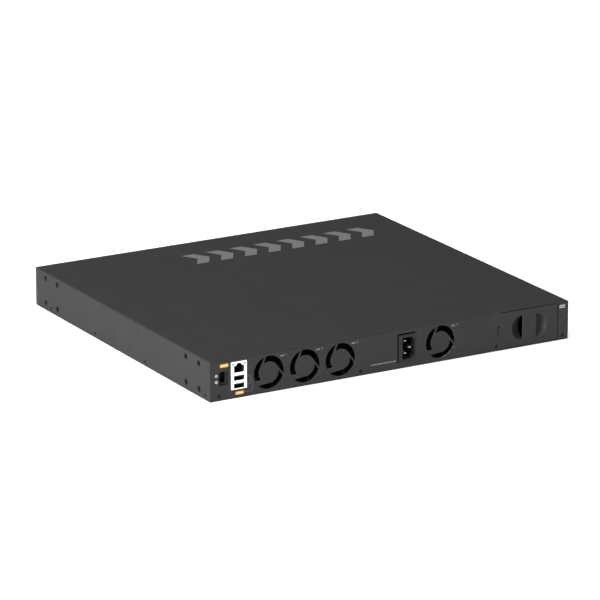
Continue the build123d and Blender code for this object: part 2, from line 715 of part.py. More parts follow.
def psu_case():
    case = block(PSU_X, PSU_Y, PSU_Z)
    case -= block(
        (PSU_X[0] + PSU_T, PSU_X[1] - PSU_T),
        (PSU_Y[0] + PSU_T, PSU_Y[1] - PSU_T),
        (PSU_Z[0] + PSU_T, PSU_Z[1]),
    )
    rear = (PSU_Y[1] - PSU_T, PSU_Y[1])
    front = (PSU_Y[0], PSU_Y[0] + PSU_T)
    cuts = [rod_y(PSU_FAN_X, rear, FAN_Z, FAN_BORE_R)]
    inlet_x = INLET_X - INLET_BODY[0] / 2 - 0.1
    inlet_z = INLET_Z - INLET_BODY[1] / 2 - 0.1
    cuts.append(block((inlet_x, PSU_X[1] - PSU_T), rear, (inlet_z, PSU_Z[1])))
    cuts.append(psu_fan_relief(PSU_Z[0], PSU_Z[0] + PSU_T))
    cuts.append(block((-68.5, -21.5), front, (8.0, 20.0)))
    cuts += [block(around(-76.0 + 6.5 * i, 3.4), front, (24.0, 38.0)) for i in range(11)]
    cuts += [rod_y(PSU_FAN_X + dx, rear, FAN_Z + dz, FAN_HOLE_R) for dx, dz in fan_corners()]
    return case - cuts


def psu_cover():
    top = PSU_Z[1] + PSU_T
    return block(PSU_X, PSU_Y, (PSU_Z[1], top)) - psu_fan_relief(PSU_Z[1], top)


def psu_board():
    return block((-80.0, -7.0), (14.0, 165.0), PSU_BOARD_Z)


def psu_standoffs():
    z = (PSU_Z[0] + PSU_T, PSU_BOARD_Z[0])
    return [rod_z(x, y, z, 2.6) for x in (-76.0, -11.0) for y in (20.0, 158.0)]


def psu_transformer():
    core = block((-62.0, -28.0), (70.0, 102.0), (PSU_BOARD_Z[1], 36.0))
    windows = block((-62.0, -28.0), (76.0, 96.0), (13.0, 30.0))
    bobbin = block((-60.0, -30.0), (78.0, 94.0), (14.0, 29.0))
    return (core - windows) + block((-47.0, -43.0), (74.0, 98.0), (12.0, 31.0)) + bobbin


def psu_capacitors():
    bulk = [rod_z(x, 136.0, (PSU_BOARD_Z[1], 37.0), 12.0) for x in (-66.0, -39.0)]
    output = [rod_z(-64.0 + 13.0 * i, 50.0, (PSU_BOARD_Z[1], 25.0), 5.0) for i in range(4)]
    return bulk + output


def psu_heatsinks():
    z = (PSU_BOARD_Z[1], 36.0)
    return [block((-78.0, -75.0), (60.0, 118.0), z), block((-15.0, -12.0), (34.0, 120.0), z)]


def ac_inlet():
    """Snap-in mains inlet turned on its side, its two clipped corners away from the flank."""
    flange_y = (PSU_Y[1], REAR_Y - 0.2)
    flange = block(INLET_FLANGE_X, flange_y, INLET_FLANGE_Z)
    body_x, body_z = around(INLET_X, INLET_BODY[0]), around(INLET_Z, INLET_BODY[1])
    cavity_x, cavity_z = around(INLET_X, INLET_CAVITY[0]), around(INLET_Z, INLET_CAVITY[1])
    body = block(body_x, (176.0, flange_y[0]), body_z)
    cavity = block(cavity_x, (181.0, flange_y[1]), cavity_z)
    corners = cavity.edges().filter_by(Axis.Y).group_by(Axis.X)[0]
    return flange + body - [chamfer(corners, INLET_CHAMFER)] - ac_inlet_pins()


def ac_inlet_pins():
    """Line and neutral blades, the longer earth blade, and the tails soldered to the board."""
    pins = []
    for dz, tail_y in ((INLET_PIN_PITCH / 2, 161.0), (-INLET_PIN_PITCH / 2, 164.0)):
        z = INLET_Z + dz
        blade = block(around(INLET_X + 2.0, 4.0), (tail_y - 1, REAR_Y - 4.9), around(z, 2.0))
        pins.append(blade + block(around(INLET_X + 2.0, 1.6), around(tail_y, 2), (PSU_BOARD_Z[1], z)))
    earth = block(around(INLET_X - 1.9, 4.0), (167.0, REAR_Y - 2.0), around(INLET_Z, 2.0))
    return pins + [earth]


def supply_connector():
    """Header on the main board and plug on the supply's board, face to face."""
    header = block((-70.0, -20.0), (-6.0, 5.0), (BOARD_TOP, 21.0))
    plug_x = (-68.0, -22.0)
    plug = block(plug_x, (5.0, 24.0), (8.4, 19.6))
    plug += block(plug_x, (14.0, 24.0), (PSU_BOARD_Z[1], 9.0))
    return [header, plug]


# Supply bay

def bay_cage():
    cage = block(CAGE_X, CAGE_Y, (PAN_T, COVER_UNDER - 0.2))
    inner_x = (CAGE_X[0] + CAGE_T, CAGE_X[1] - CAGE_T)
    return cage - block(inner_x, CAGE_Y, (PAN_T + CAGE_T, COVER_UNDER))


def bay_connector():
    body = block((-200.0, -142.0), (-9.0, 12.0), (BOARD_TOP, 22.0))
    return body - block((-196.0, -146.0), (2.0, 12.0), (14.4, 16.2))


def finger_pull(edge_x, side):
    """Half dome pressed in from the face, open along the straight edge beside the bar."""
    radius = (PULL_R ** 2 + PULL_DEPTH ** 2) / (2 * PULL_DEPTH)
    centre = Pos(edge_x, REAR_Y + radius - PULL_DEPTH, PULL_Z)
    cup = centre * (Sphere(radius + BLANK_T) - Sphere(radius))
    keep = block(sorted((edge_x, edge_x + side * 20)), (REAR_Y - 14, REAR_Y), around(PULL_Z, 40))
    hole = centre * Sphere(radius) & keep
    return cup & keep, hole


def bay_blank():
    """Filler of the empty bay: face plate, two long side flanges, a tab and two finger pulls."""
    face_y = (REAR_Y - BLANK_T, REAR_Y)
    blank = block(BLANK_X, face_y, BLANK_Z)
    for x in (BLANK_X[0] + 0.4, BLANK_X[1] - 1.4 - BLANK_T):
        blank += block((x, x + BLANK_T), (REAR_Y - BLANK_DEPTH, REAR_Y), (3.2, 40.6))
    blank += block((BLANK_X[1], BLANK_X[1] + TAB_W), face_y, TAB_Z)
    for edge_x, side in ((PULL_BAR_X[0], -1), (PULL_BAR_X[1], 1)):
        cup, hole = finger_pull(edge_x, side)
        blank = blank - hole + cup
    return blank


NODES = {
    "base_pan": base_pan(),
    "top_cover": top_cover(),
    "rear_panel": rear_panel(),
    "front_panel": front_panel(),
    "front_bezel": front_bezel(),
    "cover_screws": cover_screws(),
    "panel_screws": panel_screws(),
    "ear_nuts": ear_nuts(),
    "board_standoffs": standoffs(),
    "board_screws": board_screws(),
    "mainboard": mainboard(),
    "switch_chip": chip(-60.0, -90.0, 45.0, 3.0),
    "switch_heatsink": heatsink(-60.0, -90.0, 80.0, BOARD_TOP + 3.0, 24.0, 17),
    "processor_chip": chip(95.0, 60.0, 28.0, 2.4),
    "processor_heatsink": heatsink(95.0, 60.0, 44.0, BOARD_TOP + 2.4, 18.0, 10),
    "line_transceivers": [chip(x, -145.0, 16.0, 1.8) for x in (-140.0, -112.0, -78.0, -50.0)],
    "memory_chips": [chip(x, 105.0, 11.0, 1.4) for x in (70.0, 86.0, 102.0, 118.0)],
    "capacitors": capacitors(),
    "inductors": inductors(),
    "copper_port_shells": [gang_shell(x) for x in GANG_X],
    "copper_port_housings": [gang_housing(x) for x in GANG_X],
    "copper_port_contacts": [contact_set(*place) for x in GANG_X for place in jack_places(x)],
    "port_light_pipes": port_lights(),
    "sfp_cage": sfp_cage(),
    "sfp_connectors": sfp_connectors(),
    "status_light_pipes": status_lights(),
    "mode_button": button("mode_button"),
    "reset_button": button("reset_button"),
    "button_switches": tact_switches(),
    "service_port_shell": service_port_shell(),
    "service_port_housing": service_port_housing(),
    "service_port_lights": stack_light_boxes((STACK_Y[1] - 6.0, STACK_Y[1] - 0.2), 0.0),
    "usb_tongues": usb_tongues(),
    "console_jack": console_jack(),
    "rear_jack_contacts": jack_contacts(),
    "rear_light_pipes": rear_lights(),
    "fan_bracket": fan_bracket(),
    "fan_screws": fan_screws(),
    "fan_headers": fan_headers(),
    "fan_leads": fan_leads(),
    "psu_case": psu_case(),
    "psu_cover": psu_cover(),
    "psu_board": psu_board(),
    "psu_standoffs": psu_standoffs(),
    "psu_transformer": psu_transformer(),
    "psu_capacitors": psu_capacitors(),
    "psu_heatsinks": psu_heatsinks(),
    "ac_inlet": ac_inlet(),
    "ac_inlet_pins": ac_inlet_pins(),
    "supply_connector": supply_connector(),
    "bay_cage": bay_cage(),
    "bay_connector": bay_connector(),
    "bay_blank": bay_blank(),
}

FAN_PLACES = [(x, SYSTEM_FAN_Y) for x in reversed(SYSTEM_FAN_X)] + [(PSU_FAN_X, PSU_Y[1] - PSU_T)]
NODES["fan_frames"] = [fan_frame(*place) for place in FAN_PLACES]
NODES["fan_stators"] = [fan_stator(*place) for place in FAN_PLACES]
for number, place in enumerate(FAN_PLACES, start=1):
    NODES[f"fan_rotor_{number}"] = fan_rotor(*place)

for name, solids in NODES.items():
    save(name, solids)
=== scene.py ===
"""Looks of a one-unit rackmount network switch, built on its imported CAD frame. Lengths are in
millimetres in this script and are turned into metres where meshes are made."""

import json
import math

import bmesh
import bpy
from mathutils import Matrix, Vector


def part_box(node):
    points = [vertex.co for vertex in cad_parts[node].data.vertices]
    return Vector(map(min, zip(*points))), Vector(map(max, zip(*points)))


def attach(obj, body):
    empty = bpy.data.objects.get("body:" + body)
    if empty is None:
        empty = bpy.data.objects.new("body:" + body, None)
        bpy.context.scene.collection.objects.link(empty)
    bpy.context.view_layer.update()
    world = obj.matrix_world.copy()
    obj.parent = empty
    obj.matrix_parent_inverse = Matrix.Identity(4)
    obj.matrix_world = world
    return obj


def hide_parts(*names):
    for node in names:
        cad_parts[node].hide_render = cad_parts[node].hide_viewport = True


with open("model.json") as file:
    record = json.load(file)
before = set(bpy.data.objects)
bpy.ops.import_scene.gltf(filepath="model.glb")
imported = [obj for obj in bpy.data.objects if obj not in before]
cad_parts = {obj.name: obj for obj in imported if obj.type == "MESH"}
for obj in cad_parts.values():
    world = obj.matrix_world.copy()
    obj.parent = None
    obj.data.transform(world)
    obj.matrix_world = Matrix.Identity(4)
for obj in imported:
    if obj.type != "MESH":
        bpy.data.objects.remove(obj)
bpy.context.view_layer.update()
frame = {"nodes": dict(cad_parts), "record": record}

MM = 0.001


# Places and sizes, some read from the frame and the rest given

def span(node, axis):
    """Lowest and highest coordinate of a CAD node along an axis, in millimetres."""
    low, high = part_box(node)
    return low[axis] / MM, high[axis] / MM


HALF_W = span("top_cover", 0)[1]
TOP_Z = span("top_cover", 2)[1]
REAR_Y = span("top_cover", 1)[1]
FRONT_Y = span("front_bezel", 1)[0]
BEZEL_BACK_Y = span("front_bezel", 1)[1]
COVER_T = 1.0
PANEL_T = 1.2
COVER_IN = HALF_W - COVER_T
EAR_Z = 22.0
EAR_GROUP_Y = 162.5
EAR_PITCH = 28.0
EAR_HOLE_R = 3.3
EDGE = 0.12             # broken edge of a cut sheet
BEND_R = 1.6            # outer radius of the cover's folds
SCREW_Z = 5.0
COVER_SCREW_Y = (-163.5, -58.0, 57.5, 190.0)
REAR_SCREW_X = (209.5, 39.5, -128.8, -213.0)
FRONT_SCREW_X = (-212.0, -28.5, 44.0, 212.0)
HEAD_R = 2.3
HEAD_HOLE_R = 2.4
SHANK_R = 1.5
FAN_X = (150.3, 107.3, 64.3, -58.5)
FAN_Z = 21.8
BLADES = 7


# Materials

class Recipe:
    """Node tree of one material, built up step by step. Sizes are in millimetres."""

    def __init__(self, name, metallic=0.0, specular=0.5, coat=0.0):
        self.mat = bpy.data.materials.new(name)
        self.mat.use_nodes = True
        self.tree = self.mat.node_tree
        self.shader = self.tree.nodes["Principled BSDF"]
        self.shader.inputs["Metallic"].default_value = metallic
        self.shader.inputs["Specular IOR Level"].default_value = specular
        self.shader.inputs["Coat Weight"].default_value = coat
        self.place = self.add("TexCoord").outputs["Object"]

    def add(self, kind, **settings):
        node = self.tree.nodes.new("ShaderNode" + kind)
        for key, value in settings.items():
            setattr(node, key, value)
        return node

    def link(self, source, target):
        self.tree.links.new(source, target)

    def stretch(self, x, y, z):
        """Stretch every pattern added from here on."""
        scale = self.add("Mapping")
        scale.inputs["Scale"].default_value = (x, y, z)
        self.link(self.place, scale.inputs["Vector"])
        self.place = scale.outputs["Vector"]

    def noise(self, size, detail=2.0):
        node = self.add("TexNoise")
        node.inputs["Scale"].default_value = 1 / (size * MM)
        node.inputs["Detail"].default_value = detail
        self.link(self.place, node.inputs["Vector"])
        return node.outputs["Fac"]

    def cells(self, size):
        """Flat grey cells, such as the crystals of hot-dip zinc."""
        node = self.add("TexVoronoi")
        node.inputs["Scale"].default_value = 1 / (size * MM)
        self.link(self.place, node.inputs["Vector"])
        split = self.add("SeparateColor")
        self.link(node.outputs["Color"], split.inputs["Color"])
        return split.outputs["Red"]

    def bands(self, pitch, direction):
        node = self.add("TexWave", wave_type="BANDS", bands_direction=direction, wave_profile="SIN")
        node.inputs["Scale"].default_value = 0.31 / (pitch * MM)
        node.inputs["Distortion"].default_value = 0.4
        self.link(self.place, node.inputs["Vector"])
        return node.outputs["Fac"]

    def remap(self, value, low, high, from_low=0.3, from_high=0.7):
        node = self.add("MapRange")
        node.inputs["From Min"].default_value = from_low
        node.inputs["From Max"].default_value = from_high
        node.inputs["To Min"].default_value = low
        node.inputs["To Max"].default_value = high
        self.link(value, node.inputs["Value"])
        return node.outputs["Result"]

    def mix(self, amount, first, second):
        """Colour between two others, each a colour value or a socket."""
        node = self.add("Mix", data_type="RGBA")
        self.link(amount, node.inputs["Factor"])
        for socket, colour in ((node.inputs[6], first), (node.inputs[7], second)):
            if isinstance(colour, (tuple, list)):
                socket.default_value = (*colour, 1)
            else:
                self.link(colour, socket)
        return node.outputs[2]

    def edges(self, reach):
        """1 near sharp edges and 0 on flat ground, broken up by noise."""
        soft = self.add("Bevel", samples=4)
        soft.inputs["Radius"].default_value = reach * MM
        ground = self.add("NewGeometry")
        product = self.add("VectorMath", operation="DOT_PRODUCT")
        self.link(soft.outputs["Normal"], product.inputs[0])
        self.link(ground.outputs["Normal"], product.inputs[1])
        rim = self.remap(product.outputs["Value"], 1.0, 0.0, 0.9, 0.995)
        worn = self.add("Math", operation="MULTIPLY", use_clamp=True)
        self.link(rim, worn.inputs[0])
        self.link(self.remap(self.noise(3.0, 4.0), 0.0, 1.0, 0.4, 0.6), worn.inputs[1])
        return worn.outputs["Value"]

    def finish(self, colour, roughness, height, relief):
        self.link(colour, self.shader.inputs["Base Color"])
        self.link(roughness, self.shader.inputs["Roughness"])
        bump = self.add("Bump")
        bump.inputs["Strength"].default_value = 0.6
        bump.inputs["Distance"].default_value = relief * MM
        self.link(height, bump.inputs["Height"])
        self.link(bump.outputs["Normal"], self.shader.inputs["Normal"])
        return self.mat


def shades(colour, amount):
    """A colour darkened and lightened by the same share."""
    return [tuple(min(1.0, c * share) for c in colour) for share in (1 - amount, 1 + amount)]


def powder_coat(name, colour, roughness=0.5, specular=0.3):
    """Baked powder paint: orange-peel relief, fine speckle, rubbed patches, paler worn edges."""
    recipe = Recipe(name, specular=specular)
    ground = recipe.mix(recipe.remap(recipe.noise(45, 3), 0, 1), *shades(colour, 0.06))
    specks = recipe.remap(recipe.noise(0.3, 1), 0, 0.5)
    speckled = recipe.mix(specks, ground, shades(colour, 0.5)[1])
    worn = recipe.mix(recipe.edges(0.5), speckled, tuple(c * 2.2 for c in colour))
    rough = recipe.remap(recipe.noise(14, 4), roughness - 0.05, roughness + 0.05)
    return recipe.finish(worn, rough, recipe.noise(0.7, 3), 0.02)


def moulded(name, colour, roughness=0.45, specular=0.4, coat=0.0, grain=0.3):
    """Moulded plastic: spark-eroded grain and faint flow marks."""
    recipe = Recipe(name, specular=specular, coat=coat)
    flow = recipe.mix(recipe.remap(recipe.noise(12, 3), 0, 1), *shades(colour, 0.12))
    rough = recipe.remap(recipe.noise(2.5, 3), roughness - 0.07, roughness + 0.07)
    return recipe.finish(flow, rough, recipe.noise(grain, 2), 0.012)


def spangled(name, colour, roughness=0.4):
    """Hot-dip zinc on sheet steel, with its crystals."""
    recipe = Recipe(name, metallic=1.0)
    crystals = recipe.cells(7)
    tone = recipe.mix(recipe.remap(crystals, 0, 1, 0, 1), *shades(colour, 0.18))
    rough = recipe.remap(crystals, roughness - 0.1, roughness + 0.1, 0, 1)
    return recipe.finish(tone, rough, recipe.noise(1.2, 3), 0.006)


def plated(name, colour, roughness=0.26, streak=(1, 0.08, 1), grain=0.25):
    """Plated or drawn metal with fine streaks along one axis and handling marks."""
    recipe = Recipe(name, metallic=1.0)
    smudge = recipe.remap(recipe.noise(9, 4), roughness - 0.05, roughness + 0.08)
    recipe.stretch(*streak)
    tone = recipe.mix(recipe.remap(recipe.noise(grain * 3, 3), 0, 1), *shades(colour, 0.07))
    return recipe.finish(tone, smudge, recipe.noise(grain, 2), 0.003)


def wound(name, colour, pitch):
    """Enamelled wire, its turns as bands."""
    recipe = Recipe(name, metallic=0.8)
    turns = recipe.bands(pitch, "Z")
    tone = recipe.mix(turns, *shades(colour, 0.35))
    return recipe.finish(tone, recipe.remap(recipe.noise(2, 2), 0.25, 0.4), turns, 0.2)


def circuit(name, mask, copper):
    """Solder mask over tracks, with a slight ripple of the weave."""
    recipe = Recipe(name, coat=0.25)
    tracks = recipe.add("TexBrick")
    tracks.inputs["Scale"].default_value = 55.0
    tracks.inputs["Mortar Size"].default_value = 0.014
    tracks.inputs["Color1"].default_value = (*mask, 1)
    tracks.inputs["Color2"].default_value = (*shades(mask, 0.2)[0], 1)
    tracks.inputs["Mortar"].default_value = (*copper, 1)
    recipe.link(recipe.place, tracks.inputs["Vector"])
    tone = recipe.mix(recipe.remap(recipe.noise(20, 3), 0, 0.4), tracks.outputs["Color"], mask)
    rough = recipe.remap(recipe.noise(3, 2), 0.28, 0.42)
    return recipe.finish(tone, rough, recipe.noise(0.4, 2), 0.008)


def ink(name, colour):
    """Screen-printed ink, thin in places."""
    recipe = Recipe(name, specular=0.2)
    tone = recipe.mix(recipe.remap(recipe.noise(0.5, 2), 0, 1), *shades(colour, 0.08))
    rough = recipe.remap(recipe.noise(2, 2), 0.5, 0.65)
    return recipe.finish(tone, rough, recipe.noise(0.2, 1), 0.003)


MATERIALS = {
    "cover_paint": powder_coat("cover_paint", (0.0205, 0.0205, 0.0205), 0.55, 0.04),
    "panel_paint": powder_coat("panel_paint", (0.021, 0.021, 0.021), 0.55, 0.13),
    "bezel_plastic": moulded("bezel_plastic", (0.020, 0.020, 0.022), 0.5),
    "galvanised": spangled("galvanised", (0.50, 0.51, 0.52)),
    "black_screws": plated("black_screws", (0.03, 0.03, 0.032), 0.5),
    "zinc_hardware": plated("zinc_hardware", (0.62, 0.61, 0.57), 0.3),
    "brass_posts": plated("brass_posts", (0.70, 0.50, 0.22), 0.28, (1, 1, 0.1)),
    "circuit_board": circuit("circuit_board", (0.012, 0.075, 0.035), (0.05, 0.22, 0.10)),
    "chip_epoxy": moulded("chip_epoxy", (0.018, 0.018, 0.019), 0.6, grain=0.12),
    "heatsink_metal": plated("heatsink_metal", (0.42, 0.43, 0.45), 0.36, (1, 0.04, 1), 0.5),
    "capacitor_can": moulded("capacitor_can", (0.05, 0.06, 0.12), 0.35, coat=0.3),
    "bright_shell": plated("bright_shell", (0.93, 0.93, 0.94), 0.2),
    "port_plastic": moulded("port_plastic", (0.010, 0.010, 0.011), 0.5, 0.25),
    "gold_contacts": plated("gold_contacts", (0.62, 0.42, 0.16), 0.35),
    "light_pipe": moulded("light_pipe", (0.27, 0.28, 0.265), 0.35, coat=0.1),
    "button_plastic": moulded("button_plastic", (0.09, 0.09, 0.095), 0.5),
    "rotor_plastic": moulded("rotor_plastic", (0.010, 0.010, 0.011), 0.5, 0.2),
    "copper_winding": wound("copper_winding", (0.50, 0.20, 0.07), 0.8),
    "ferrite": moulded("ferrite", (0.05, 0.05, 0.053), 0.6, grain=0.6),
    "lead_jacket": moulded("lead_jacket", (0.02, 0.02, 0.02), 0.55),
    "header_plastic": moulded("header_plastic", (0.62, 0.58, 0.46), 0.4),
}
INK = {
    "grey": ink("grey_ink", (0.17, 0.17, 0.17)),
    "line": ink("leader_line_ink", (0.085, 0.085, 0.08)),
    "top": ink("top_print_ink", (0.10, 0.10, 0.102)),
    "yellow": ink("yellow_ink", (0.50, 0.30, 0.05)),
    "pale": ink("pale_ink", (0.62, 0.56, 0.36)),
    "white": ink("white_ink", (0.33, 0.33, 0.32)),
}
GREEN_LENS = moulded("green_lens", (0.28, 0.40, 0.14), 0.3, coat=0.1)
INLET_BLADES = plated("inlet_blades", (0.75, 0.74, 0.70), 0.3)
# Contacts of the rear jack: gold darkened as painted shade of the jack's cavity.
DARK_CONTACTS = plated("shadowed_contacts", (0.16, 0.12, 0.06), 0.5)
# Near-black with almost no sheen for the ear nuts, fan frames and stators: their own black, pushed far
# darker as painted shade, so the ear holes and the space behind the grilles read as dark as shade.
BLACK_WITH_PAINTED_SHADE = moulded("black_with_painted_shade", (0.003, 0.003, 0.003), 0.8, 0.02)
# The base pan takes the chassis paint in place of zinc; the dark paint on the walls of its holes behind
# the ear holes is painted shade.
NODE_FINISH = {
    "service_port_lights": GREEN_LENS, "rear_jack_contacts": DARK_CONTACTS, "ear_nuts": BLACK_WITH_PAINTED_SHADE,
    "fan_frames": BLACK_WITH_PAINTED_SHADE, "fan_stators": BLACK_WITH_PAINTED_SHADE, "base_pan": MATERIALS["panel_paint"],
    "console_jack": MATERIALS["bezel_plastic"],
}


# Mesh building

FACE_OUT = {
    "top": Matrix(((1, 0, 0), (0, 1, 0), (0, 0, 1))),
    "upright": Matrix(((1, 0, 0), (0, 0, -1), (0, 1, 0))),
    "behind": Matrix(((-1, 0, 0), (0, 0, 1), (0, 1, 0))),
    "flank": Matrix(((0, 0, 1), (1, 0, 0), (0, 1, 0))),
}


def box_loop(x, y, radius=0.0, steps=5):
    """Closed rectangle between two (low, high) ranges, its corners rounded."""
    if radius <= 0:
        return [(x[0], y[0]), (x[1], y[0]), (x[1], y[1]), (x[0], y[1])]
    points = []
    corners = ((x[1], y[1], 0), (x[0], y[1], 90), (x[0], y[0], 180), (x[1], y[0], 270))
    for cx, cy, start in corners:
        cx -= math.copysign(radius, cx - (x[0] + x[1]) / 2)
        cy -= math.copysign(radius, cy - (y[0] + y[1]) / 2)
        for i in range(steps + 1):
            angle = math.radians(start + 90 * i / steps)
            points.append((cx + radius * math.cos(angle), cy + radius * math.sin(angle)))
    return points


def ring_loop(cx, cy, radius, steps=40):
    turn = 2 * math.pi / steps
    turns = [turn * i for i in range(steps)]
    return [(cx + radius * math.cos(angle), cy + radius * math.sin(angle)) for angle in turns]


def arc_points(cx, cy, radius, start, end, steps):
    """Points of an arc between two angles in degrees."""
    angles = [math.radians(start + (end - start) * i / steps) for i in range(steps + 1)]
    return [(cx + radius * math.cos(a), cy + radius * math.sin(a)) for a in angles]


def stroke_loop(points, width):
    """Outline of a line of a width along a chain of points, with mitred corners."""
    left, right = [], []
    for i, point in enumerate(points):
        here = Vector(point)
        back = (here - Vector(points[i - 1])).normalized() if i else None
        ahead = (Vector(points[i + 1]) - here).normalized() if i + 1 < len(points) else None
        along = (back or ahead) + (ahead or back)
        along.normalize()
        across = Vector((-along.y, along.x))
        square = across.dot(Vector((-(ahead or back).y, (ahead or back).x)))
        across *= width / 2 / max(0.4, square)
        left.append(tuple(here + across))
        right.append(tuple(here - across))
    return left + right[::-1]


def rounded(points, radius, steps=5):
    """Chain of points with its inner corners rounded."""
    chain = [points[0]]
    for before, corner, after in zip(points, points[1:], points[2:]):
        corner = Vector(corner)
        start = corner + (Vector(before) - corner).normalized() * radius
        end = corner + (Vector(after) - corner).normalized() * radius
        for i in range(steps + 1):
            t = i / steps
            chain.append(tuple((1 - t) ** 2 * start + 2 * t * (1 - t) * corner + t * t * end))
    return chain + [points[-1]]


def sheet_mesh(loops, thickness, face, level, edge=0.0):
    """Mesh of a sheet cut by closed loops, its middle at a level along the face's outward axis.
    Its edges are broken by edge."""
    curve = bpy.data.curves.new("cut", "CURVE")
    curve.dimensions = "2D"
    curve.fill_mode = "BOTH"
    curve.extrude = (thickness / 2 - edge) * MM
    curve.bevel_depth = edge * MM
    curve.bevel_resolution = 1
    curve.offset = -edge * MM
    for loop in loops:
        spline = curve.splines.new("POLY")
        spline.points.add(len(loop) - 1)
        for point, (x, y) in zip(spline.points, loop):
            point.co = (x * MM, y * MM, 0, 1)
        spline.use_cyclic_u = True
    holder = bpy.data.objects.new("cut", curve)
    bpy.context.scene.collection.objects.link(holder)
    bpy.context.view_layer.update()
    depsgraph = bpy.context.evaluated_depsgraph_get()
    mesh = bpy.data.meshes.new_from_object(holder.evaluated_get(depsgraph))
    bpy.data.objects.remove(holder)
    bpy.data.curves.remove(curve)
    place_on(mesh, face, level)
    shape = bmesh.new()
    shape.from_mesh(mesh)
    bmesh.ops.remove_doubles(shape, verts=shape.verts, dist=1e-7)
    bmesh.ops.recalc_face_normals(shape, faces=shape.faces)
    shape.to_mesh(mesh)
    shape.free()
    return mesh


def place_on(mesh, face, level):
    """Turn a mesh drawn in its own plane to a face of the case, at a level along its axis."""
    turn = FACE_OUT[face]
    outward = turn @ Vector((0, 0, 1))
    mesh.transform(Matrix.Translation(outward * level * MM) @ turn.to_4x4())


def numeral(text, x, z, height, face, level):
    """Raised print of a number, centred on a point of a face."""
    words = bpy.data.curves.new("numeral", "FONT")
    words.body = text
    words.size = height * 1.4 * MM
    words.align_x = "CENTER"
    words.align_y = "CENTER"
    words.extrude = 0.03 * MM
    words.offset = 0.08 * MM
    words.resolution_u = 3
    holder = bpy.data.objects.new("numeral", words)
    bpy.context.scene.collection.objects.link(holder)
    bpy.context.view_layer.update()
    depsgraph = bpy.context.evaluated_depsgraph_get()
    mesh = bpy.data.meshes.new_from_object(holder.evaluated_get(depsgraph))
    bpy.data.objects.remove(holder)
    bpy.data.curves.remove(words)
    across = -x if face == "behind" else x
    mesh.transform(Matrix.Translation((across * MM, z * MM, 0)))
    place_on(mesh, face, level)
    return mesh


def loft(sections):
    """Closed mesh through rings of points with the same count, its ends capped."""
    shape = bmesh.new()
    rings = [[shape.verts.new(Vector(point) * MM) for point in section] for section in sections]
    count = len(rings[0])
    for low, high in zip(rings, rings[1:]):
        for k in range(count):
            j = (k + 1) % count
            shape.faces.new((low[k], low[j], high[j], high[k]))
    shape.faces.new(rings[0])
    shape.faces.new(rings[-1][::-1])
    bmesh.ops.recalc_face_normals(shape, faces=shape.faces)
    mesh = bpy.data.meshes.new("loft")
    shape.to_mesh(mesh)
    shape.free()
    return mesh


def joined(parts):
    """One mesh from several, each freed afterwards."""
    shape = bmesh.new()
    for part in parts:
        shape.from_mesh(part)
        bpy.data.meshes.remove(part)
    bmesh.ops.remove_doubles(shape, verts=shape.verts, dist=1e-6)
    mesh = bpy.data.meshes.new("joined")
    shape.to_mesh(mesh)
    shape.free()
    return mesh


def piece(name, mesh, body, material, replaces=(), bevel=0.0, smooth=35.0):
    """A finished piece: named, rounded at its edges, smoothed, coloured and set on its body."""
    thing = bpy.data.objects.new(name, mesh)
    mesh.name = name
    bpy.context.scene.collection.objects.link(thing)
    mesh.materials.clear()
    mesh.materials.append(material)
    if bevel:
        round_edges(thing, bevel)
    shade(mesh, smooth)
    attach(thing, body)
    if replaces:
        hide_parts(*replaces)
    return thing


def shade(mesh, angle):
    """Smooth shading that stops at edges sharper than an angle in degrees."""
    shape = bmesh.new()
    shape.from_mesh(mesh)
    limit = math.radians(angle)
    for edge in shape.edges:
        edge.smooth = not (len(edge.link_faces) == 2 and edge.calc_face_angle(0) > limit)
    for face in shape.faces:
        face.smooth = True
    shape.to_mesh(mesh)
    shape.free()


def round_edges(thing, width, segments=2):
    rounding = thing.modifiers.new("rounded_edges", "BEVEL")
    rounding.width = width * MM
    rounding.segments = segments
    rounding.limit_method = "ANGLE"
    rounding.angle_limit = math.radians(50)
    rounding.use_clamp_overlap = True
    rounding.harden_normals = True


def lathe(profile, centre, steps=48):
    """Mesh turned about the fan axis, +Y, from (radius, y) points."""
    shape = bmesh.new()
    rings = []
    for radius, y in profile:
        ring = []
        for i in range(steps):
            turn = 2 * math.pi * i / steps
            x = centre[0] + radius * math.cos(turn)
            z = centre[1] + radius * math.sin(turn)
            ring.append(shape.verts.new((x * MM, y * MM, z * MM)))
        rings.append(ring)
    for low, high in zip(rings, rings[1:]):
        for i in range(steps):
            j = (i + 1) % steps
            shape.faces.new((low[i], low[j], high[j], high[i]))
    mesh = bpy.data.meshes.new("lathe")
    bmesh.ops.remove_doubles(shape, verts=shape.verts, dist=1e-7)
    bmesh.ops.recalc_face_normals(shape, faces=shape.faces)
    shape.to_mesh(mesh)
    shape.free()
    return mesh


# Case

def ear_holes():
    """The (y, z) places of the rack-ear bolts on one flank."""
    half = EAR_PITCH / 2
    return [
        (side * EAR_GROUP_Y + dy, EAR_Z + dz)
        for side in (-1, 1)
        for dy in (-half, half)
        for dz in (-half, half)
    ]


def cover():
    """Folded cover: top, two flanks with their holes, and a rounded bend between them."""
    y = (BEZEL_BACK_Y, REAR_Y)
    top = box_loop((-HALF_W + BEND_R, HALF_W - BEND_R), y)
    parts = [sheet_mesh([top], COVER_T, "top", TOP_Z - COVER_T / 2)]
    holes = [ring_loop(hole_y, z, EAR_HOLE_R) for hole_y, z in ear_holes()]
    holes += [ring_loop(screw_y, SCREW_Z, HEAD_HOLE_R) for screw_y in COVER_SCREW_Y]
    holes.append(box_loop((BEZEL_BACK_Y + 1.5, BEZEL_BACK_Y + 3.5), (EAR_Z - 1.5, EAR_Z + 1.5), 0.6))
    flank = [box_loop(y, (0.0, TOP_Z - BEND_R))] + holes
    for side in (-1, 1):
        parts.append(sheet_mesh(flank, COVER_T, "flank", side * (HALF_W - COVER_T / 2)))
        parts.append(bend_strip(side, y))
    shell = joined(parts)
    drop_inner_walls(shell)
    piece("cover_shell", shell, "chassis", MATERIALS["cover_paint"], ["top_cover"])


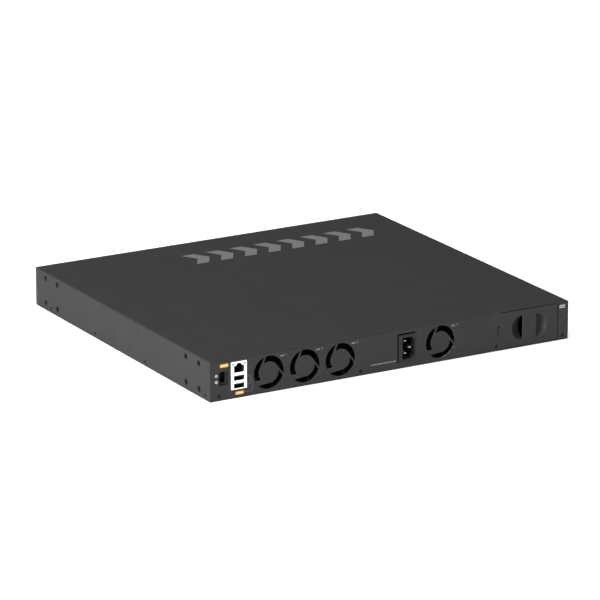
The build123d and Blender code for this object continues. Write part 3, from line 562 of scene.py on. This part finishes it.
def drop_inner_walls(mesh):
    """Take out the walls left inside the sheet where the top, folds and flanks meet."""
    shape = bmesh.new()
    shape.from_mesh(mesh)
    seam_x, seam_z = (HALF_W - BEND_R) * MM, (TOP_Z - BEND_R) * MM
    walls = []
    for face in shape.faces:
        middle, normal = face.calc_center_median(), face.normal
        on_x_seam = abs(abs(middle.x) - seam_x) < 1e-6 and abs(normal.x) > 0.99
        on_z_seam = abs(middle.z - seam_z) < 1e-6 and abs(normal.z) > 0.99
        if on_x_seam or on_z_seam:
            walls.append(face)
    bmesh.ops.delete(shape, geom=walls, context="FACES")
    bmesh.ops.recalc_face_normals(shape, faces=shape.faces)
    shape.to_mesh(mesh)
    shape.free()


def bend_strip(side, y):
    """Quarter-round fold between the top and one flank."""
    shape = bmesh.new()
    steps = 8
    rows = []
    for i in range(steps + 1):
        turn = math.radians(90 * i / steps)
        outward, upward = math.cos(turn), math.sin(turn)
        row = []
        for radius in (BEND_R, BEND_R - COVER_T):
            x = side * (HALF_W - BEND_R + radius * outward)
            z = TOP_Z - BEND_R + radius * upward
            row += [shape.verts.new((x * MM, end * MM, z * MM)) for end in y]
        rows.append(row)
    for low, high in zip(rows, rows[1:]):
        shape.faces.new((low[0], low[1], high[1], high[0]))
        shape.faces.new((low[2], high[2], high[3], low[3]))
        shape.faces.new((low[0], high[0], high[2], low[2]))
        shape.faces.new((low[1], low[3], high[3], high[1]))
    bmesh.ops.recalc_face_normals(shape, faces=shape.faces)
    mesh = bpy.data.meshes.new("bend")
    shape.to_mesh(mesh)
    shape.free()
    return mesh


GRILLE_IN_R = 11.6
GRILLE_OUT_R = 18.0
GRILLE_ARMS = ((156, 1.6), (36, 1.6), (-84, 5.6))   # direction of the arm's normal, width


def grille_loops(x):
    """The three openings of one round grille, at angles as seen from behind: X runs backwards."""
    loops = []
    for i, (normal, _) in enumerate(GRILLE_ARMS):
        before, width = GRILLE_ARMS[i - 1]
        before += 360 if before < normal else 0
        reach = math.degrees(math.acos(GRILLE_IN_R / GRILLE_OUT_R))
        far = math.degrees(math.acos((GRILLE_IN_R - width) / GRILLE_OUT_R))
        near = math.degrees(math.acos((GRILLE_IN_R - width) / GRILLE_IN_R))
        points = arc_points(0, 0, GRILLE_OUT_R, normal - reach, before - far, 26)
        points += arc_points(0, 0, GRILLE_IN_R, before - near, normal, 18)
        loops.append([(x - px, FAN_Z + pz) for px, pz in points])
    return loops


STACK_X = span("service_port_shell", 0)
STACK_Z = span("service_port_shell", 2)
CONSOLE_WINDOW_X = (198.2, 209.5)
CONSOLE_WINDOW_Z = (16.3, 31.5)
INLET_WINDOW_X = (-29.3, -5.3)
INLET_WINDOW_Z = (6.5, 38.3)
LIGHT_X = 212.7
LIGHT_Z = (20.7, 27.4)
LIGHT_HOLE_R = 1.85
TAB_W = 2.6
TAB_Z = (17.2, 26.0)
BLANK_X = (span("bay_blank", 0)[0], span("bay_blank", 0)[1] - TAB_W)
BLANK_Z = span("bay_blank", 2)


def rear_panel():
    """Rear panel with rounded windows, the bay's cut-out with its notch, grilles and screw holes."""
    gap = 0.2
    low, high, sill = 0.0, TOP_Z - COVER_T - gap, 1.2
    edge = COVER_IN - gap
    bay_inner, bay_outer = -133.9, -207.6
    notch_x, notch_low, notch_high = -130.2, 16.4, 27.0
    loops = [[
        (-edge, low), (edge, low), (edge, high), (bay_inner, high),
        (bay_inner, notch_high), (notch_x, notch_high), (notch_x, notch_low), (bay_inner, notch_low),
        (bay_inner, sill), (bay_outer, sill), (bay_outer, high), (-edge, high),
    ]]
    for x in FAN_X:
        loops += grille_loops(x)
    slack = 0.25
    stack_x = (STACK_X[0] - slack, STACK_X[1] + slack)
    stack_z = (STACK_Z[0] - slack, STACK_Z[1] + slack)
    loops.append(box_loop(stack_x, stack_z, 0.4))
    loops.append(box_loop(CONSOLE_WINDOW_X, CONSOLE_WINDOW_Z, 0.5))
    loops.append(box_loop(INLET_WINDOW_X, INLET_WINDOW_Z, 0.8))
    loops += [ring_loop(LIGHT_X, z, LIGHT_HOLE_R, 28) for z in LIGHT_Z]
    loops += [ring_loop(x, SCREW_Z, HEAD_HOLE_R, 28) for x in REAR_SCREW_X]
    mesh = sheet_mesh(loops, PANEL_T, "upright", -(REAR_Y - PANEL_T / 2), EDGE)
    piece("rear_plate", mesh, "chassis", MATERIALS["panel_paint"], ["rear_panel"],
          smooth=20)


def printed(name, loops, colour, face="rear", film=0.04, under=0.0):
    """Flat print on the rear panel or the top, over other print of a thickness."""
    rise = film / 2 + under
    if face == "top":
        mesh, slot = sheet_mesh(loops, film, "top", TOP_Z + rise), "cover_paint"
    else:
        mesh, slot = sheet_mesh(loops, film, "upright", -(REAR_Y + rise)), "panel_paint"
    piece(name, mesh, "chassis", INK[colour])


def u(*values):
    """Distance from the rear panel's edge on the port-stack side, turned into X."""
    return tuple(HALF_W - value for value in values)


def bars(x0, z, widths, height, gap):
    """A run of short bars that stands for small print, from the stack side onwards."""
    loops, at = [], x0
    for width in widths:
        ends = sorted(u(at, at + width))
        loops.append(box_loop(ends, (z - height / 2, z + height / 2)))
        at += width + gap
    return loops


def label(name, ends, z):
    """Rounded yellow label with a row of pale marks where its word was."""
    printed(name, [box_loop(sorted(u(*ends)), z, 0.9)], "yellow")
    pitch = (ends[1] - ends[0] - 2.4) / 5
    marks = bars(ends[0] + 1.4, sum(z) / 2, (pitch * 0.7,) * 5, 1.2, pitch * 0.3)
    printed(f"{name}_marks", marks, "pale", film=0.03, under=0.04)


def rear_print():
    """Labels, leader lines, captions and rating marks, the words replaced by bars."""
    label("console_label", (11.6, 21.6), (35.6, 39.3))
    label("usb_label", (29.8, 39.6), (3.6, 7.0))
    routes = [
        [(*u(21.6), 37.7), (*u(24.3), 37.7)],
        [(*u(45.0), 22.6), (*u(47.9), 21.8), (*u(47.9), 13.9), (*u(45.0), 13.1)],
        [(*u(47.9), 17.3), (*u(50.0), 16.2), (*u(50.0), 5.2), (*u(39.8), 5.2)],
    ]
    lines = [stroke_loop(rounded(route, 1.0) if len(route) > 2 else route, 0.5) for route in routes]
    printed("port_leader_lines", lines, "line")
    captions = []
    for x in FAN_X:
        captions += bars(HALF_W - x + 13.4, 37.4, (1.3, 1.5, 1.3), 1.3, 0.3)
    printed("fan_captions", captions, "grey")
    numbers = []
    for number, x in enumerate(FAN_X, start=1):
        numbers.append(numeral(str(number), x - 20.4, 37.9, 1.8, "behind", REAR_Y + 0.01))
    piece("fan_numbers", joined(numbers), "chassis", INK["grey"])
    rating = bars(193.0, 9.3, (1.6, 3.0, 1.4, 3.6, 1.6, 2.4, 3.0, 1.2, 2.6, 3.2), 1.2, 0.75)
    printed("rating_marks", rating, "grey")
    printed("corner_label", [box_loop(sorted(u(428.8, 435.8)), (35.8, 39.2), 0.4)], "white")
    printed("corner_label_marks", bars(429.6, 37.5, (1.3, 1.7, 1.1, 0.9), 1.2, 0.4), "line",
            film=0.03, under=0.04)


def top_graphic():
    """Row of plain chevrons near the front edge of the top, where the maker's printing was."""
    count, left, right = 8, 160.0, 403.0
    near, far = FRONT_Y + 44.0, FRONT_Y + 80.0
    pitch = (right - left) / count
    loops = []
    for i in range(count):
        start = HALF_W - (left + pitch * i)
        width, point = pitch * 0.5, pitch * 0.34
        middle = (near + far) / 2
        loops.append([
            (start, near), (start - width, near), (start - width - point, middle), (start - width, far),
            (start, far), (start - point, middle),
        ])
    printed("top_chevrons", loops, "top", "top")


# Screws

def screw_head(radius, height):
    """Flat head with a cross recess, standing on z = 0 and facing +Z, in millimetres."""
    arm, half = radius * 0.62, radius * 0.15
    cross = [
        (arm, -half), (arm, half), (half, half), (half, arm), (-half, arm), (-half, half),
        (-arm, half), (-arm, -half), (-half, -half), (-half, -arm), (half, -arm), (half, -half),
    ]
    floor = height * 0.35
    disc = sheet_mesh([ring_loop(0, 0, radius, 32)], floor, "top", floor / 2)
    rim = [ring_loop(0, 0, radius, 32), cross]
    crown = sheet_mesh(rim, height - floor, "top", (height + floor) / 2)
    return joined([disc, crown])


def set_out(mesh, places):
    """Copies of a mesh at (point, outward direction) places, joined. The original is freed."""
    shape = bmesh.new()
    for point, outward in places:
        copy = mesh.copy()
        turn = Vector((0, 0, 1)).rotation_difference(Vector(outward)).to_matrix().to_4x4()
        copy.transform(Matrix.Translation(Vector(point) * MM) @ turn)
        shape.from_mesh(copy)
        bpy.data.meshes.remove(copy)
    bpy.data.meshes.remove(mesh)
    out = bpy.data.meshes.new("set_out")
    shape.to_mesh(out)
    shape.free()
    return out


def shanked(head, length):
    """Screw of a head and a plain shank below it."""
    shank = sheet_mesh([ring_loop(0, 0, SHANK_R, 20)], length, "top", -length / 2)
    return joined([head, shank])


def screws():
    """Cover screws on both flanks, and the screws of the rear and front panels."""
    cover_places = [
        ((side * COVER_IN, y, SCREW_Z), (side, 0, 0)) for side in (-1, 1) for y in COVER_SCREW_Y
    ]
    panel_places = [((x, REAR_Y - PANEL_T, SCREW_Z), (0, 1, 0)) for x in REAR_SCREW_X]
    panel_places += [((x, BEZEL_BACK_Y + PANEL_T, SCREW_Z), (0, -1, 0)) for x in FRONT_SCREW_X]
    for name, node, head_h, length, places in (
        ("cover_screw_set", "cover_screws", 0.85, 4.0, cover_places),
        ("panel_screw_set", "panel_screws", 1.05, 2.2, panel_places),
    ):
        mesh = set_out(shanked(screw_head(HEAD_R, head_h), length), places)
        piece(name, mesh, "chassis", MATERIALS["black_screws"], [node], bevel=0.08)


# Fans

def blade_mesh(centre, mid_y, turn):
    """One cambered, twisted blade from the hub to the tip."""
    root, tip, rows, around = 9.9, 17.95, 7, 14
    rings = []
    for i in range(rows + 1):
        t = i / rows
        radius = root + (tip - root) * t
        chord = 12.5 + 3.5 * t
        pitch = math.radians(56 - 22 * t)
        ring = []
        for k in range(around):
            phase = 2 * math.pi * k / around
            along = math.cos(phase) * chord / 2
            camber = 1.4 * (1 - (2 * along / chord) ** 2)
            across = math.sin(phase) * (0.75 - 0.2 * t) * (1 - 0.3 * math.cos(phase)) + camber
            axial = along * math.sin(pitch) - across * math.cos(pitch)
            swing = along * math.cos(pitch) + across * math.sin(pitch)
            angle = turn + swing / radius
            x = centre[0] + radius * math.cos(angle)
            z = centre[1] + radius * math.sin(angle)
            ring.append((x, mid_y + axial, z))
        rings.append(ring)
    return loft(rings)


def rotors():
    """Turned hub and blades of each fan."""
    for number, x in enumerate(FAN_X, start=1):
        node = f"fan_rotor_{number}"
        low, high = span(node, 1)
        centre = (x, FAN_Z)
        hub = lathe([
            (0, low), (8.6, low), (9.9, low + 0.4), (10.5, low + 1.3), (10.5, high), (8.9, high),
            (8.9, low + 2.0), (1.5, low + 2.0), (1.5, high - 1.0), (0, high - 1.0),
        ], centre)
        mid_y = (low + high) / 2
        turns = [2 * math.pi * i / BLADES for i in range(BLADES)]
        rotor = joined([hub] + [blade_mesh(centre, mid_y, turn) for turn in turns])
        piece(f"impeller_{number}", rotor, node, MATERIALS["rotor_plastic"], [node],
              smooth=40)


# Mains inlet

INLET_X = -19.6
INLET_Z = 21.3


def prong(x, z, base_y, tip_y):
    """Flat contact blade with a chamfered nose."""
    steps = ((base_y, 2.0, 1.0), (tip_y - 1.6, 2.0, 1.0), (tip_y - 0.3, 1.5, 0.5), (tip_y, 1.25, 0.3))
    sections = []
    for y, half_w, half_h in steps:
        corners = ((-half_w, -half_h), (half_w, -half_h), (half_w, half_h), (-half_w, half_h))
        sections.append([(x + dx, y, z + dz) for dx, dz in corners])
    return loft(sections)


def inlet_blades():
    """Line and neutral blades, and the earth blade, which reaches nearer to the mouth."""
    tip = REAR_Y - 2.0
    parts = [prong(INLET_X + 2.0, INLET_Z + dz, 160.0, tip - 2.9) for dz in (7.0, -7.0)]
    parts.append(prong(INLET_X - 1.9, INLET_Z, 167.0, tip))
    piece("inlet_prongs", joined(parts), "chassis", INLET_BLADES, ["ac_inlet_pins"],
          bevel=0.1)


# Front numbering

COPPER_FIRST_X = (-150.0, -88.0)       # middle of each gang's first column
COPPER_PITCH = 14.0
OPTICAL_FIRST_X = -16.15
OPTICAL_PITCH = 15.0


def port_numbers():
    """Numbers of the front ports: odd above the upper row, even under the lower."""
    columns = [first + COPPER_PITCH * i for first in COPPER_FIRST_X for i in range(4)]
    columns += [OPTICAL_FIRST_X + OPTICAL_PITCH * i for i in range(4)]
    marks = []
    for i, x in enumerate(columns):
        marks += number_pair(2 * i + 1, x)
    piece("port_numbers", joined(marks), "chassis", INK["white"])


def number_pair(number, x):
    """Number of an upper port, and of the port below it."""
    upper_z, lower_z, height, level = 38.9, 5.6, 2.6, -FRONT_Y + 0.01
    return [
        numeral(str(number), x, upper_z, height, "upright", level),
        numeral(str(number + 1), x, lower_z, height, "upright", level),
    ]


# Bay blank

PULL_RIM_R = 13.5
PULL_DEPTH = 9.0
PULL_ROLL = 0.9         # how far the rolled rim reaches past the dish
PULL_Z = 21.7
PULLS = ((-178.8, -1), (-161.8, 1))    # straight edge of each pull, and the way it opens from there
BLANK_T = 1.0
BLANK_DEPTH = 55.0


def half_dish(edge_x, side):
    """Pressed half dish of a finger pull: deep at the straight edge, rolled over at the rim."""
    ball = (PULL_RIM_R ** 2 + PULL_DEPTH ** 2) / (2 * PULL_DEPTH)
    rows = 14
    profile = []
    for i in range(rows + 1):
        radius = (PULL_RIM_R - 0.5) * i / rows
        profile.append((radius, math.sqrt(ball ** 2 - radius ** 2) - (ball - PULL_DEPTH)))
    profile += [(PULL_RIM_R - 0.15, 0.32), (PULL_RIM_R + 0.25, 0.06), (PULL_RIM_R + PULL_ROLL, 0.0)]
    shape = bmesh.new()
    steps = 28
    rings = []
    for radius, deep in profile:
        ring = []
        for k in range(steps + 1):
            turn = math.radians(-90 + 180 * k / steps)
            ring.append(shape.verts.new((
                (edge_x + side * radius * math.cos(turn)) * MM,
                (REAR_Y - 0.02 - deep) * MM,
                (PULL_Z + radius * math.sin(turn)) * MM,
            )))
        rings.append(ring)
    for low, high in zip(rings, rings[1:]):
        for k in range(steps):
            shape.faces.new((low[k], low[k + 1], high[k + 1], high[k]))
    bmesh.ops.remove_doubles(shape, verts=shape.verts, dist=1e-7)
    bmesh.ops.recalc_face_normals(shape, faces=shape.faces)
    faces_back = sum(face.normal.y * face.calc_area() for face in shape.faces) < 0
    if faces_back:
        bmesh.ops.reverse_faces(shape, faces=shape.faces)
    bmesh.ops.solidify(shape, geom=shape.faces, thickness=0.9 * MM)
    mesh = bpy.data.meshes.new("dish")
    shape.to_mesh(mesh)
    shape.free()
    return mesh


def half_disc(edge_x, side, radius):
    """D-shaped cut-out whose straight side is upright."""
    return [(edge_x + side * px, pz + PULL_Z) for px, pz in arc_points(0, 0, radius, -90, 90, 28)]


def bay_blank():
    """Blank of the supply bay: face with two D-shaped cut-outs, pressed pulls, flanges and tab."""
    x, z = BLANK_X, BLANK_Z
    tab = x[1] + TAB_W
    outline = [
        (x[0], z[0]), (x[1], z[0]), (x[1], TAB_Z[0]), (tab, TAB_Z[0]),
        (tab, TAB_Z[1]), (x[1], TAB_Z[1]), (x[1], z[1]), (x[0], z[1]),
    ]
    cut_r = PULL_RIM_R + 0.8
    loops = [outline] + [half_disc(edge, side, cut_r) for edge, side in PULLS]
    parts = [sheet_mesh(loops, BLANK_T, "upright", -(REAR_Y - BLANK_T / 2), EDGE)]
    flange = box_loop((REAR_Y - BLANK_DEPTH, REAR_Y - BLANK_T), (3.2, 40.4), 1.5)
    for flange_x in (x[0] + 0.9, x[1] - 1.9):
        parts.append(sheet_mesh([flange], BLANK_T, "flank", flange_x, EDGE))
    paint = MATERIALS["panel_paint"]
    piece("bay_cover", joined(parts), "bay_blank", paint, ["bay_blank"], smooth=20)
    for number, (edge, side) in enumerate(PULLS, start=1):
        dish = half_dish(edge, side)
        piece(f"finger_pull_{number}", dish, "bay_blank", paint, smooth=60)


# CAD nodes that keep their shape

SLOT_OF = {part["node"]: part["material_slot"] for part in frame["record"]["subparts"]}


def carried_nodes():
    """Material and rounded edges for every CAD node."""
    for name, thing in frame["nodes"].items():
        thing.data.materials.clear()
        thing.data.materials.append(NODE_FINISH.get(name) or MATERIALS[SLOT_OF[name]])
        weld = thing.modifiers.new("closed_edges", "WELD")
        weld.merge_threshold = 1e-6
        round_edges(thing, EDGE)


# Stage, lights and camera

def stage():
    """Pale paper floor, wide enough to fill every view. Its size is in metres."""
    half = 60.0
    corners = [(-half, -half, 0), (half, -half, 0), (half, half, 0), (-half, half, 0)]
    mesh = bpy.data.meshes.new("floor")
    mesh.from_pydata(corners, [], [(0, 1, 2, 3)])
    floor = bpy.data.objects.new("floor", mesh)
    bpy.context.scene.collection.objects.link(floor)
    paper = Recipe("studio_floor", specular=0.0)
    tone = paper.mix(paper.remap(paper.noise(400), 0, 1), (0.97, 0.97, 0.97), (0.98, 0.98, 0.98))
    paper.finish(tone, paper.remap(paper.noise(50), 0.85, 0.95), paper.noise(4), 0.01)
    mesh.materials.append(paper.mat)


def area_light(name, place, target, size, power):
    """Rectangular lamp aimed at a target. Lengths are in metres, power in watts."""
    light = bpy.data.lights.new(name, "AREA")
    light.shape = "RECTANGLE"
    light.size, light.size_y = size
    light.energy = power
    lamp = bpy.data.objects.new(name, light)
    lamp.location = place
    lamp.rotation_euler = (Vector(target) - Vector(place)).to_track_quat("-Z", "Y").to_euler()
    bpy.context.scene.collection.objects.link(lamp)


# Stops of the sky: (direction's Z from 0 at straight down to 1 at straight up, radiance)
SKY = ((0.5, 0.12), (0.66, 0.14), (0.78, 0.6), (1.0, 2.7))


def lights():
    """Overhead studio sky, dim near the horizon, and a soft box to the viewer's left."""
    world = bpy.data.worlds.new("studio")
    bpy.context.scene.world = world
    world.use_nodes = True
    tree = world.node_tree
    direction = tree.nodes.new("ShaderNodeTexCoord")
    split = tree.nodes.new("ShaderNodeSeparateXYZ")
    height = tree.nodes.new("ShaderNodeMapRange")
    height.inputs["From Min"].default_value = -1.0
    ramp = tree.nodes.new("ShaderNodeValToRGB").color_ramp
    sky = ramp.id_data.nodes[-1]
    for _ in range(len(SKY) - 2):
        ramp.elements.new(0.5)
    for stop, (position, radiance) in zip(ramp.elements, SKY):
        stop.position = position
        stop.color = (radiance, radiance, radiance, 1)
    tree.links.new(direction.outputs["Generated"], split.inputs["Vector"])
    tree.links.new(split.outputs["Z"], height.inputs["Value"])
    tree.links.new(height.outputs["Result"], sky.inputs["Fac"])
    tree.links.new(sky.outputs["Color"], tree.nodes["Background"].inputs["Color"])
    area_light("flank_softbox", (3.1, 0.9, 0.62), (0, 0, 0.02), (2.2, 1.0), 265)


def camera():
    """Long lens above the rear corner beside the service ports. Its place is in metres."""
    lens = bpy.data.cameras.new("camera")
    lens.lens = 258.06
    lens.sensor_width = 36.0
    lens.clip_end = 300
    view = bpy.data.objects.new("camera", lens)
    right = Vector((-0.86743, 0.49755, -0.00177))
    down = Vector((0.14653, 0.25206, -0.95655))
    ahead = Vector((-0.47549, -0.83000, -0.29155))
    turn = Matrix((right, -down, -ahead)).transposed().to_4x4()
    view.matrix_world = Matrix.Translation((2.23338, 3.90206, 1.39452)) @ turn
    bpy.context.scene.collection.objects.link(view)
    bpy.context.scene.camera = view


camera()
stage()
lights()
bpy.context.scene.view_settings.view_transform = "Standard"
carried_nodes()
cover()
rear_panel()
rear_print()
top_graphic()
screws()
rotors()
inlet_blades()
port_numbers()
bay_blank()
